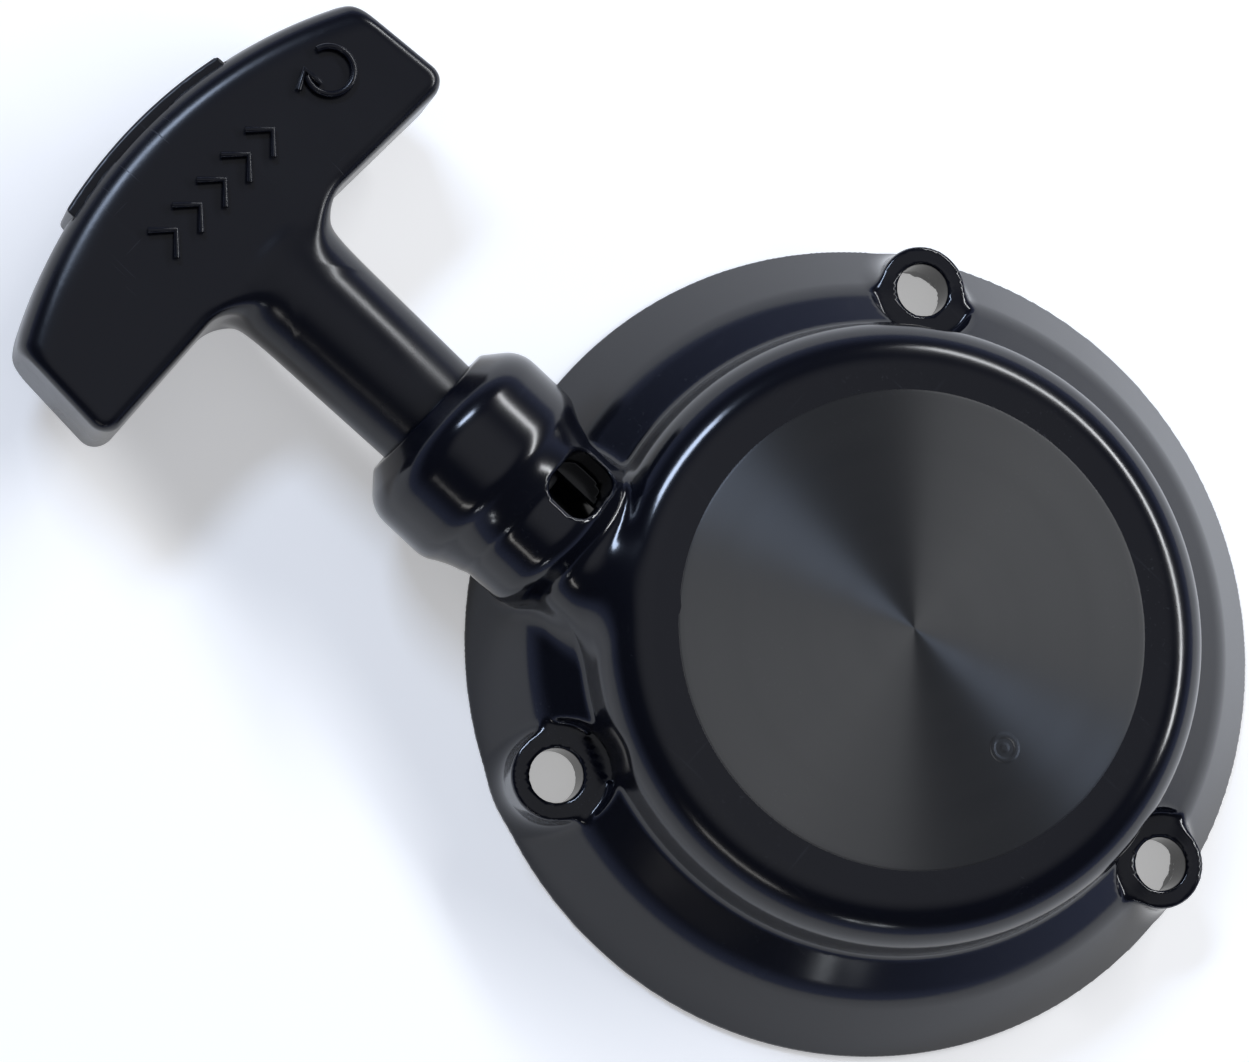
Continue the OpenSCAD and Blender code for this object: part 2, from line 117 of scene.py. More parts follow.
def sectionField(path, step=0.1, margin=5):  # signed distance to a closed outline, looked up in a table
    low, high = path.min(0) - margin, path.max(0) + margin
    u, v = np.meshgrid(np.arange(low[0], high[0], step), np.arange(low[1], high[1], step), indexing="ij")
    best, side = np.full(u.shape, 1e9), np.ones(u.shape)
    for a, b in zip(path, np.roll(path, -1, 0)):
        e = b - a
        if e @ e < 1e-12:
            continue
        t = np.clip(((u - a[0]) * e[0] + (v - a[1]) * e[1]) / (e @ e), 0, 1)
        best = np.minimum(best, (u - a[0] - e[0] * t) ** 2 + (v - a[1] - e[1] * t) ** 2)
        if e[1] != 0:
            crosses = ((a[1] > v) != (b[1] > v)) & (u < e[0] * (v - a[1]) / e[1] + a[0])
            side = np.where(crosses, -side, side)
    table = np.sqrt(best) * side
    rows, columns = table.shape

    def field(p, q):
        i = np.clip((p - low[0]) / step, 0, rows - 1.001)
        j = np.clip((q - low[1]) / step, 0, columns - 1.001)
        i0, j0 = i.astype(int), j.astype(int)
        fi, fj = i - i0, j - j0
        near = table[i0, j0] * (1 - fj) + table[i0, j0 + 1] * fj
        return near * (1 - fi) + (table[i0 + 1, j0] * (1 - fj) + table[i0 + 1, j0 + 1] * fj) * fi

    return field


def slopeOf(field, p, h=0.14):
    g = np.empty_like(p)
    for k in range(3):
        ahead, behind = p.copy(), p.copy()
        ahead[:, k] += h
        behind[:, k] -= h
        g[:, k] = (field(*ahead.T) - field(*behind.T)) / (2 * h)
    return g


def skinOf(name, field, low, high, step, material, smoothing=2):
    axes = [np.arange(low[k] - 1.5 * step, high[k] + 2.5 * step, step) for k in range(3)]
    size = [len(a) for a in axes]
    d = np.empty(size)
    for i in range(0, size[0], 24):  # in slabs, to keep memory low
        d[i:i + 24] = field(*np.meshgrid(axes[0][i:i + 24], axes[1], axes[2], indexing="ij"))
    inside = d < 0
    offsets = [(i, j, k) for i in (0, 1) for j in (0, 1) for k in (0, 1)]
    cut = [slice(0, n - 1) for n in size]
    views = [inside[i:size[0] - 1 + i, j:size[1] - 1 + j, k:size[2] - 1 + k] for i, j, k in offsets]
    total = sum(v.astype(np.int8) for v in views)
    mixed = (total > 0) & (total < 8)
    cells = np.argwhere(mixed)
    index = np.full(mixed.shape, -1)
    index[mixed] = np.arange(len(cells))
    values = np.stack([d[cells[:, 0] + i, cells[:, 1] + j, cells[:, 2] + k] for i, j, k in offsets], 1)
    place, hits = np.zeros((len(cells), 3)), np.zeros(len(cells))
    for a in range(8):
        for b in range(a + 1, 8):
            if sum(abs(offsets[a][k] - offsets[b][k]) for k in range(3)) != 1:
                continue
            da, db = values[:, a], values[:, b]
            crossing = (da < 0) != (db < 0)
            t = np.where(crossing, da / np.where(crossing, da - db, 1), 0)[:, None]
            point = np.array(offsets[a]) + (np.array(offsets[b]) - np.array(offsets[a])) * t
            place += point * crossing[:, None]
            hits += crossing
    origin = np.array([a[0] for a in axes])
    p = origin + (cells + place / hits[:, None]) * step
    quads = []
    for k in range(3):
        u, v = (k + 1) % 3, (k + 2) % 3
        here = [slice(None)] * 3
        there = [slice(None)] * 3
        here[k], there[k] = slice(0, size[k] - 1), slice(1, size[k])
        change = inside[tuple(here)] != inside[tuple(there)]
        at = np.argwhere(change)
        at = at[(at[:, u] > 0) & (at[:, v] > 0) & (at[:, u] < size[u] - 1) & (at[:, v] < size[v] - 1)]
        outward = inside[tuple(at.T)]
        ring = []
        for du, dv in ((-1, -1), (0, -1), (0, 0), (-1, 0)):
            cell = at.copy()
            cell[:, u] += du
            cell[:, v] += dv
            ring.append(index[tuple(cell.T)])
        ring = np.stack(ring, 1)
        quads.append(np.where(outward[:, None], ring, ring[:, ::-1]))
    quads = np.concatenate(quads)
    for turnNo in range(smoothing + 1):  # even out the net, then lay it on the surface again
        if turnNo:
            middle, count = np.zeros_like(p), np.zeros(len(p))
            centres = p[quads].mean(1)
            for c in range(4):
                np.add.at(middle, quads[:, c], centres)
                np.add.at(count, quads[:, c], 1)
            p = p * 0.5 + middle / count[:, None] * 0.5
        for _ in range(3):
            g = slopeOf(field, p)
            move = field(*p.T)[:, None] * g / np.maximum((g * g).sum(1), 0.2)[:, None]
            reach = np.linalg.norm(move, axis=1)[:, None]
            p -= move * np.minimum(1, 0.4 * step / np.maximum(reach, 1e-9))
    p = np.clip(p, low, high)
    normals = slopeOf(field, p)
    normals /= np.maximum(np.linalg.norm(normals, axis=1), 1e-9)[:, None]
    mesh = bpy.data.meshes.new(name)
    mesh.from_pydata((p * mm).tolist(), [], quads.tolist())
    mesh.polygons.foreach_set("use_smooth", np.ones(len(quads), bool))
    mesh.normals_split_custom_set_from_vertices(normals.tolist())
    mesh.materials.append(material)
    skin = bpy.data.objects.new(name, mesh)
    bpy.context.scene.collection.objects.link(skin)
    print(name, "skinned,", len(quads), "quads")
    return skin


# ---- materials ----

def newGroup(name, inputs, outputs):
    group = bpy.data.node_groups.new(name, "ShaderNodeTree")
    for label, kind, default in inputs:
        socket = group.interface.new_socket(name=label, in_out="INPUT", socket_type=kind)
        if default is not None:
            socket.default_value = default
    for label, kind in outputs:
        group.interface.new_socket(name=label, in_out="OUTPUT", socket_type=kind)
    return group, group.nodes.new("NodeGroupInput"), group.nodes.new("NodeGroupOutput")


def put(tree, kind, **values):
    node = tree.nodes.new(kind)
    for key, value in values.items():
        setattr(node, key, value)
    return node


def mathNode(tree, operation, a, b=None, c=None):
    node = put(tree, "ShaderNodeMath", operation=operation)
    for i, value in enumerate((a, b, c)):
        if value is None:
            continue
        if isinstance(value, (int, float)):
            node.inputs[i].default_value = value
        else:
            tree.links.new(value, node.inputs[i])
    return node.outputs[0]


def vectorNode(tree, operation, a, b=None):
    node = put(tree, "ShaderNodeVectorMath", operation=operation)
    for i, value in enumerate((a, b)):
        if value is None:
            continue
        if isinstance(value, tuple):
            node.inputs[i].default_value = value
        else:
            tree.links.new(value, node.inputs[i])
    return node.outputs["Value" if operation in ("LENGTH", "DISTANCE", "DOT_PRODUCT") else "Vector"]


def ramp(tree, value, low, high, start=0.0, end=1.0):
    node = put(tree, "ShaderNodeMapRange", interpolation_type="SMOOTHSTEP")
    tree.links.new(value, node.inputs["Value"])
    for label, number in (("From Min", low), ("From Max", high), ("To Min", start), ("To Max", end)):
        node.inputs[label].default_value = number
    return node.outputs["Result"]


def noise(tree, vector, scale, detail=3.0, rough=0.5):
    node = put(tree, "ShaderNodeTexNoise")
    node.inputs["Scale"].default_value = scale
    node.inputs["Detail"].default_value = detail
    node.inputs["Roughness"].default_value = rough
    tree.links.new(vector, node.inputs["Vector"])
    return node.outputs["Fac"]


# fine grain, broad unevenness and thin scratches, for any hard surface
def buildHandled():
    group, start, end = newGroup(
        "handledSurface", [("Grain", "NodeSocketFloat", 900.0), ("Broad", "NodeSocketFloat", 45.0)],
        [(label, "NodeSocketFloat") for label in ("Grain", "Broad", "Scratch", "Dust")])
    where = put(group, "ShaderNodeTexCoord").outputs["Object"]
    grain = put(group, "ShaderNodeTexNoise")
    grain.inputs["Detail"].default_value = 2
    broad = put(group, "ShaderNodeTexNoise")
    broad.inputs["Detail"].default_value = 4
    for node, label in ((grain, "Grain"), (broad, "Broad")):
        group.links.new(where, node.inputs["Vector"])
        group.links.new(start.outputs[label], node.inputs["Scale"])
        group.links.new(node.outputs["Fac"], end.inputs[label])
    lines = None
    for angle, stretch in ((0.5, (1, 26, 1)), (2.1, (22, 1, 1))):
        turned = put(group, "ShaderNodeMapping")
        turned.inputs["Rotation"].default_value = (0.3, 0.2, angle)
        turned.inputs["Scale"].default_value = stretch
        group.links.new(where, turned.inputs["Vector"])
        thin = ramp(group, noise(group, turned.outputs["Vector"], 95.0, 1.0), 0.70, 0.76)
        lines = thin if lines is None else mathNode(group, "MAXIMUM", lines, thin)
    patches = ramp(group, noise(group, where, 60.0), 0.48, 0.62)
    group.links.new(mathNode(group, "MULTIPLY", lines, patches), end.inputs["Scratch"])
    group.links.new(mathNode(group, "MULTIPLY", ramp(group, noise(group, where, 2600.0, 1.0), 0.66, 0.74),
                             ramp(group, noise(group, where, 80.0), 0.45, 0.7)), end.inputs["Dust"])
    return group


# the turned disc in the cover's face: rings, a fine edge groove whose shade is painted into the colour as a dark
# line, and the moulding gate
def buildTurnedFace(size):
    group, start, end = newGroup(
        "turnedFace", [("Ring Depth", "NodeSocketFloat", 1.0)],
        [(label, "NodeSocketFloat") for label in ("Mask", "Height", "Line", "Tone")])
    where = put(group, "ShaderNodeTexCoord").outputs["Object"]
    split = put(group, "ShaderNodeSeparateXYZ")
    group.links.new(where, split.inputs["Vector"])
    flat = put(group, "ShaderNodeCombineXYZ")
    group.links.new(split.outputs["X"], flat.inputs["X"])
    group.links.new(split.outputs["Y"], flat.inputs["Y"])
    out = vectorNode(group, "LENGTH", flat.outputs["Vector"])
    onFace = ramp(group, split.outputs["Z"], size["faceZ"] * mm - 0.0006, size["faceZ"] * mm - 0.0003)
    inDisc = ramp(group, out, size["discR"] * mm - 0.00006, size["discR"] * mm + 0.00006, 1, 0)
    mask = mathNode(group, "MULTIPLY", onFace, inDisc)
    alongRadius = put(group, "ShaderNodeCombineXYZ")
    group.links.new(out, alongRadius.inputs["X"])
    fineRings = noise(group, alongRadius.outputs["Vector"], 5200.0, 2.0)
    broadRings = noise(group, alongRadius.outputs["Vector"], 700.0, 2.0)
    rings = mathNode(group, "ADD", fineRings, mathNode(group, "MULTIPLY", broadRings, 1.5))
    edge = mathNode(group, "ABSOLUTE", mathNode(group, "SUBTRACT", out, size["discR"] * mm))
    # painted shade: a thin ring at the disc's edge, darkening the colour where a groove's shade would fall; it also
    # dips the bump
    grooveDipAndShade = mathNode(group, "MULTIPLY", ramp(group, edge, 0.00005, 0.00022, 1, 0), onFace)
    gateR, gateTurn = size["gateR"] * mm, size["gateTurn"]
    gateAt = (gateR * math.cos(gateTurn), gateR * math.sin(gateTurn), 0)
    fromGate = vectorNode(group, "DISTANCE", flat.outputs["Vector"], gateAt)
    fromRing = mathNode(group, "ABSOLUTE", mathNode(group, "SUBTRACT", fromGate, 0.0015))
    gateRing = ramp(group, fromRing, 0.0001, 0.00045, 1, 0)
    gateDot = ramp(group, fromGate, 0.0003, 0.0007, 1, 0)
    sunkRing = mathNode(group, "MULTIPLY", gateRing, -1.0)
    sunkDot = mathNode(group, "MULTIPLY", gateDot, 0.8)
    gate = mathNode(group, "MULTIPLY", mathNode(group, "SUBTRACT", sunkRing, sunkDot), mask)
    height = mathNode(group, "MULTIPLY", mathNode(group, "MULTIPLY", rings, mask), start.outputs["Ring Depth"])
    height = mathNode(group, "ADD", height, mathNode(group, "MULTIPLY", gate, 60.0))
    height = mathNode(group, "SUBTRACT", height, mathNode(group, "MULTIPLY", grooveDipAndShade, 40.0))
    group.links.new(mask, end.inputs["Mask"])
    group.links.new(height, end.inputs["Height"])
    group.links.new(grooveDipAndShade, end.inputs["Line"])
    group.links.new(noise(group, alongRadius.outputs["Vector"], 260.0, 3.0), end.inputs["Tone"])
    return group


# two sets of strands crossing round a cord; Around is (cos, sin, 0)
def buildBraid():
    group, start, end = newGroup(
        "braid", [("Along", "NodeSocketFloat", 0.0), ("Around", "NodeSocketVector", None),
                  ("Pitch", "NodeSocketFloat", 0.0042)],
        [(label, "NodeSocketFloat") for label in ("Height", "Strand", "Fleck")])
    split = put(group, "ShaderNodeSeparateXYZ")
    group.links.new(start.outputs["Around"], split.inputs["Vector"])
    angle = mathNode(group, "ARCTAN2", split.outputs["Y"], split.outputs["X"])
    pitches = mathNode(group, "DIVIDE", start.outputs["Along"], start.outputs["Pitch"])
    steps = mathNode(group, "MULTIPLY", pitches, turn)
    waves = []
    for way in (1.0, -1.0):
        roundCord = mathNode(group, "MULTIPLY", angle, 4.0 * way)
        phase = mathNode(group, "ADD", roundCord, mathNode(group, "MULTIPLY", steps, 2.0))
        wave = mathNode(group, "SINE", mathNode(group, "MULTIPLY", phase, 0.5))
        waves.append(mathNode(group, "POWER", mathNode(group, "ABSOLUTE", wave), 0.6))
    chooser = mathNode(group, "SINE", mathNode(group, "MULTIPLY", steps, 4.0))
    strandSide = mathNode(group, "COSINE", mathNode(group, "MULTIPLY", angle, 4.0))
    over = ramp(group, mathNode(group, "MULTIPLY", chooser, strandSide), -0.25, 0.25)
    height = mathNode(group, "ADD", mathNode(group, "MULTIPLY", waves[0], over),
                      mathNode(group, "MULTIPLY", waves[1], mathNode(group, "SUBTRACT", 1.0, over)))
    group.links.new(height, end.inputs["Height"])
    group.links.new(over, end.inputs["Strand"])
    fleckWave = mathNode(group, "SINE", mathNode(group, "ADD", angle, steps))
    group.links.new(ramp(group, fleckWave, 0.93, 0.97), end.inputs["Fleck"])
    return group


discSize = {"faceZ": 18.3, "discR": 28.8, "gateR": 17.8, "gateTurn": math.radians(170)}
handledGroup = buildHandled()
turnedGroup = buildTurnedFace(discSize)
braidGroup = buildBraid()


def blankMaterial(name):
    material = bpy.data.materials.new(name)
    material.use_nodes = True
    tree = material.node_tree
    tree.nodes.clear()
    shader = put(tree, "ShaderNodeBsdfPrincipled")
    tree.links.new(shader.outputs["BSDF"], put(tree, "ShaderNodeOutputMaterial").inputs["Surface"])
    return material, tree, shader


def mixColours(tree, mask, a, b):
    node = put(tree, "ShaderNodeMix", data_type="RGBA")
    for socket, value in ((node.inputs[0], mask), (node.inputs[6], a), (node.inputs[7], b)):
        if isinstance(value, (tuple, float)):
            socket.default_value = value
        else:
            tree.links.new(value, socket)
    return node.outputs[2]


def bumpOn(tree, shader, height, strength, depth):
    node = put(tree, "ShaderNodeBump")
    node.inputs["Strength"].default_value = strength
    node.inputs["Distance"].default_value = depth
    tree.links.new(height, node.inputs["Height"])
    tree.links.new(node.outputs["Normal"], shader.inputs["Normal"])


def handled(tree, grain, broad):
    node = put(tree, "ShaderNodeGroup", node_tree=handledGroup)
    node.inputs["Grain"].default_value = grain
    node.inputs["Broad"].default_value = broad
    return node.outputs


def roughSpan(tree, mask, look):
    return ramp(tree, mask, 0.3, 0.7, look["rough"] - look["spread"], look["rough"] + look["spread"])


# a look always has colour, worn, rough, spread, grain, broad and bump
def hardMaterial(name, look):
    material, tree, shader = blankMaterial(name)
    marks = handled(tree, look["grain"], look["broad"])
    darker = tuple(c * look.get("darker", 0.8) for c in look["colour"])
    shade = mixColours(tree, marks["Broad"], look["colour"] + (1,), darker + (1,))
    scratched = mathNode(tree, "MULTIPLY", marks["Scratch"], look.get("scratch", 0.4))
    shade = mixColours(tree, scratched, shade, look["worn"] + (1,))
    tree.links.new(shade, shader.inputs["Base Color"])
    rough = mathNode(tree, "ADD", roughSpan(tree, marks["Broad"], look),
                     mathNode(tree, "MULTIPLY", marks["Scratch"], 0.12))
    tree.links.new(rough, shader.inputs["Roughness"])
    shader.inputs["Metallic"].default_value = look.get("metal", 0.0)
    shader.inputs["IOR"].default_value = 1.5
    shader.inputs["Specular IOR Level"].default_value = look.get("specular", 0.5)
    height = mathNode(tree, "SUBTRACT", marks["Grain"], mathNode(tree, "MULTIPLY", marks["Scratch"], 0.6))
    bumpOn(tree, shader, height, look.get("strength", 0.3), look["bump"])
    return material


gripLook = {
    "colour": (0.0045, 0.005, 0.0085), "worn": (0.035, 0.037, 0.045), "rough": 0.26, "spread": 0.05, "specular": 0.36,
    "grain": 1400.0, "broad": 55.0, "bump": 0.00002, "strength": 0.25, "scratch": 0.25}
gripPlastic = hardMaterial("gripPlastic", gripLook)
reelNylon = hardMaterial("reelNylon", {
    "colour": (0.045, 0.046, 0.05), "worn": (0.16, 0.16, 0.16), "rough": 0.46, "spread": 0.07,
    "grain": 1900.0, "broad": 120.0, "bump": 0.00003, "scratch": 0.5})
darkNylon = hardMaterial("darkNylon", {
    "colour": (0.012, 0.012, 0.014), "worn": (0.08, 0.08, 0.085), "rough": 0.4, "spread": 0.06,
    "grain": 1700.0, "broad": 150.0, "bump": 0.00003})
naturalNylon = hardMaterial("naturalNylon", {
    "colour": (0.62, 0.57, 0.44), "worn": (0.7, 0.68, 0.6), "rough": 0.4, "spread": 0.06,
    "grain": 1600.0, "broad": 160.0, "bump": 0.00003, "darker": 0.85})
springSteel = hardMaterial("springSteel", {
    "colour": (0.34, 0.35, 0.38), "worn": (0.6, 0.58, 0.55), "rough": 0.3, "spread": 0.1, "metal": 1.0,
    "grain": 2600.0, "broad": 260.0, "bump": 0.00002, "darker": 0.6})
zincPlate = hardMaterial("zincPlate", {
    "colour": (0.66, 0.67, 0.69), "worn": (0.82, 0.82, 0.8), "rough": 0.34, "spread": 0.09, "metal": 1.0,
    "grain": 1700.0, "broad": 190.0, "bump": 0.00003, "darker": 0.78})
sinteredSteel = hardMaterial("sinteredSteel", {
    "colour": (0.30, 0.29, 0.28), "worn": (0.55, 0.54, 0.52), "rough": 0.47, "spread": 0.08, "metal": 1.0,
    "grain": 3300.0, "broad": 420.0, "bump": 0.00006, "darker": 0.65, "strength": 0.6})
oiledBronze = hardMaterial("oiledBronze", {
    "colour": (0.56, 0.35, 0.15), "worn": (0.78, 0.6, 0.34), "rough": 0.36, "spread": 0.08, "metal": 1.0,
    "grain": 2900.0, "broad": 300.0, "bump": 0.00004, "darker": 0.7, "strength": 0.5})


def coverMaterial(look):
    material, tree, shader = blankMaterial("coverPlastic")
    marks = handled(tree, look["grain"], look["broad"])
    shade = mixColours(tree, marks["Broad"], look["colour"] + (1,), look["deep"] + (1,))
    shade = mixColours(tree, mathNode(tree, "MULTIPLY", marks["Scratch"], 0.2), shade, look["worn"] + (1,))
    shade = mixColours(tree, mathNode(tree, "MULTIPLY", marks["Dust"], 0.06), shade, (0.2, 0.21, 0.23, 1))
    tree.links.new(shade, shader.inputs["Base Color"])
    tree.links.new(roughSpan(tree, marks["Broad"], look), shader.inputs["Roughness"])
    shader.inputs["IOR"].default_value = 1.5
    shader.inputs["Specular IOR Level"].default_value = 0.45
    height = mathNode(tree, "SUBTRACT", mathNode(tree, "MULTIPLY", marks["Grain"], look["grainDepth"]),
                      mathNode(tree, "MULTIPLY", marks["Scratch"], 0.8))
    bumpOn(tree, shader, height, 0.6, 0.000003)
    return material


def discMaterial(look):  # turned in rings, so its gloss spreads across them
    material, tree, shader = blankMaterial("turnedDisc")
    marks = handled(tree, look["grain"], look["broad"])
    face = put(tree, "ShaderNodeGroup", node_tree=turnedGroup).outputs
    shade = mixColours(tree, face["Tone"], look["colour"] + (1,), look["deep"] + (1,))
    # painted shade: the disc's edge groove is darkened to near black in the colour
    shade = mixColours(tree, mathNode(tree, "MULTIPLY", face["Line"], 0.85), shade, (0.002, 0.002, 0.003, 1))
    shade = mixColours(tree, mathNode(tree, "MULTIPLY", marks["Dust"], 0.04), shade, (0.2, 0.21, 0.23, 1))
    tree.links.new(shade, shader.inputs["Base Color"])
    tree.links.new(roughSpan(tree, face["Tone"], look), shader.inputs["Roughness"])
    shader.inputs["IOR"].default_value = 1.5
    shader.inputs["Specular IOR Level"].default_value = look["specular"]
    shader.inputs["Anisotropic"].default_value = look["lay"]
    shader.inputs["Anisotropic Rotation"].default_value = 0.25
    around = put(tree, "ShaderNodeTangent", direction_type="RADIAL", axis="Z")
    tree.links.new(around.outputs["Tangent"], shader.inputs["Tangent"])
    bumpOn(tree, shader, face["Height"], 0.5, 0.0000015)
    return material


coverLook = {"colour": (0.0042, 0.0048, 0.0088), "deep": (0.003, 0.0034, 0.006), "worn": (0.03, 0.033, 0.04),
             "rough": 0.15, "spread": 0.035, "grain": 1300.0, "broad": 40.0, "grainDepth": 1.0}
coverPlastic = coverMaterial(coverLook)
discLook = {
    "colour": (0.0125, 0.0128, 0.0135), "deep": (0.0095, 0.0098, 0.0105), "rough": 0.40, "spread": 0.03, "lay": 0.95, "specular": 0.9,
    "grain": 1300.0, "broad": 40.0}
turnedDisc = discMaterial(discLook)


def ropeMaterial(name, straight):
    material, tree, shader = blankMaterial(name)
    braid = put(tree, "ShaderNodeGroup", node_tree=braidGroup)
    if straight:  # the lead stretches out of the cover, so its braid reads real lengths
        where = put(tree, "ShaderNodeTexCoord").outputs["Object"]
        centred = vectorNode(tree, "SUBTRACT", where, (0.0, ropeY * mm, ropeZ * mm))
        split = put(tree, "ShaderNodeSeparateXYZ")
        tree.links.new(centred, split.inputs["Vector"])
        around = put(tree, "ShaderNodeCombineXYZ")
        tree.links.new(split.outputs["Y"], around.inputs["X"])
        tree.links.new(split.outputs["Z"], around.inputs["Y"])
        tree.links.new(split.outputs["X"], braid.inputs["Along"])
        tree.links.new(around.outputs["Vector"], braid.inputs["Around"])
    else:
        along = put(tree, "ShaderNodeAttribute", attribute_name="ropeAlong")
        around = put(tree, "ShaderNodeAttribute", attribute_name="ropeAround")
        tree.links.new(along.outputs["Fac"], braid.inputs["Along"])
        tree.links.new(around.outputs["Vector"], braid.inputs["Around"])
    marks = handled(tree, 2500.0, 220.0)
    shade = mixColours(tree, braid.outputs["Strand"], (0.030, 0.031, 0.035, 1), (0.020, 0.021, 0.024, 1))
    # painted shade: the low gaps between the braid's strands are darkened in the colour
    paintedGapShade = ramp(tree, braid.outputs["Height"], 0.1, 0.6, 0.75, 0)
    shade = mixColours(tree, paintedGapShade, shade, (0.006, 0.006, 0.007, 1))
    shade = mixColours(tree, braid.outputs["Fleck"], shade, (0.42, 0.41, 0.38, 1))
    shade = mixColours(tree, mathNode(tree, "MULTIPLY", marks["Broad"], 0.35), shade, (0.055, 0.05, 0.045, 1))
    tree.links.new(shade, shader.inputs["Base Color"])
    tree.links.new(ramp(tree, marks["Grain"], 0.2, 0.8, 0.68, 0.92), shader.inputs["Roughness"])
    shader.inputs["Sheen Weight"].default_value = 0.3
    shader.inputs["Sheen Roughness"].default_value = 0.5
    fuzz = mathNode(tree, "MULTIPLY", marks["Grain"], 0.3)
    bumpOn(tree, shader, mathNode(tree, "ADD", braid.outputs["Height"], fuzz), 0.8, 0.00025)
    return material


ropeBraid = ropeMaterial("ropeBraid", False)
leadBraid = ropeMaterial("leadBraid", True)
print("materials ready")


# ---- cover ----

cover = {
    "skirtTop": (43.6, 4.9), "flangeRound": 12, "foot": (38.4, 9), "footRound": 2,
    "face": (36.9, 18.3), "shoulderRound": 6, "wall": 2.2, "roofZ": 16.1,
    "ears": 3, "firstEar": 64.7, "earCircle": 44, "earR": 5.5, "earBlend": 2.0, "padTop": 5.2,
    "holeR": 3.25, "spotR": 6.5, "spotWall": 1.4, "studR": 4.05,
    "outletR": 10.6, "collarBack": outletX - 15.4, "collarBlend": 1.8, "socketR": 7.9, "socketX": outletX - 9.6,
    "passageR": 5.5, "guideR": 4.4, "guideWall": 6, "neckR": 7.7, "neckX": 25, "neckBlend": 2.9,
    "bossX": outletX - 23.8, "bossRound": 3, "bossBlend": 2.6,
    "windowLong": 6.6, "windowHalf": 4, "windowRound": 2.4, "windowY": ropeY - 4.2,
    "ribs": 12, "ribHalf": 0.7, "ribInner": 36.6, "ribOuter": 43.1, "ribLow": 2.3, "ribRound": 0.55,
    "footR": 7.1, "screwR": 1.95, "notchX": (2.9, 5.5), "notchHalf": 0.55, "notchZ": (6.6, 14.3), "voxel": 0.5,
}
cover["guideX"] = cover["socketX"] - cover["guideWall"]

outerSection = sectionField(roundedPath([
    (-12, rimZ, 0), (rimR, rimZ, 0), (rimR, rimZ + 0.8, 0), (*cover["skirtTop"], cover["flangeRound"]),
    (*cover["foot"], cover["footRound"]), (*cover["face"], cover["shoulderRound"]),
    (-12, cover["face"][1], 0)]))
innerSection = sectionField(roundedPath([
    (-12, rimZ - 4, 0), (rimR - cover["wall"], rimZ - 4, 0), (rimR - cover["wall"], rimZ + 0.8, 0),
    (cover["skirtTop"][0] - cover["wall"], cover["skirtTop"][1] - cover["wall"], 1),
    (cover["foot"][0] - cover["wall"], cover["foot"][1] - cover["wall"], 1.5),
    (cover["face"][0] - cover["wall"], cover["roofZ"], 3.8), (-12, cover["roofZ"], 0)]))
collarSection = sectionField(roundedPath([
    (-8, cover["collarBack"] - 0.01, 0), (cover["outletR"], cover["collarBack"], 0),
    (collarR, cover["collarBack"] + 4, 4),
    (collarR, outletX - 3.2, 4.5), (cover["socketR"] + 1.4, outletX, 0.9), (-8, outletX, 0)]))


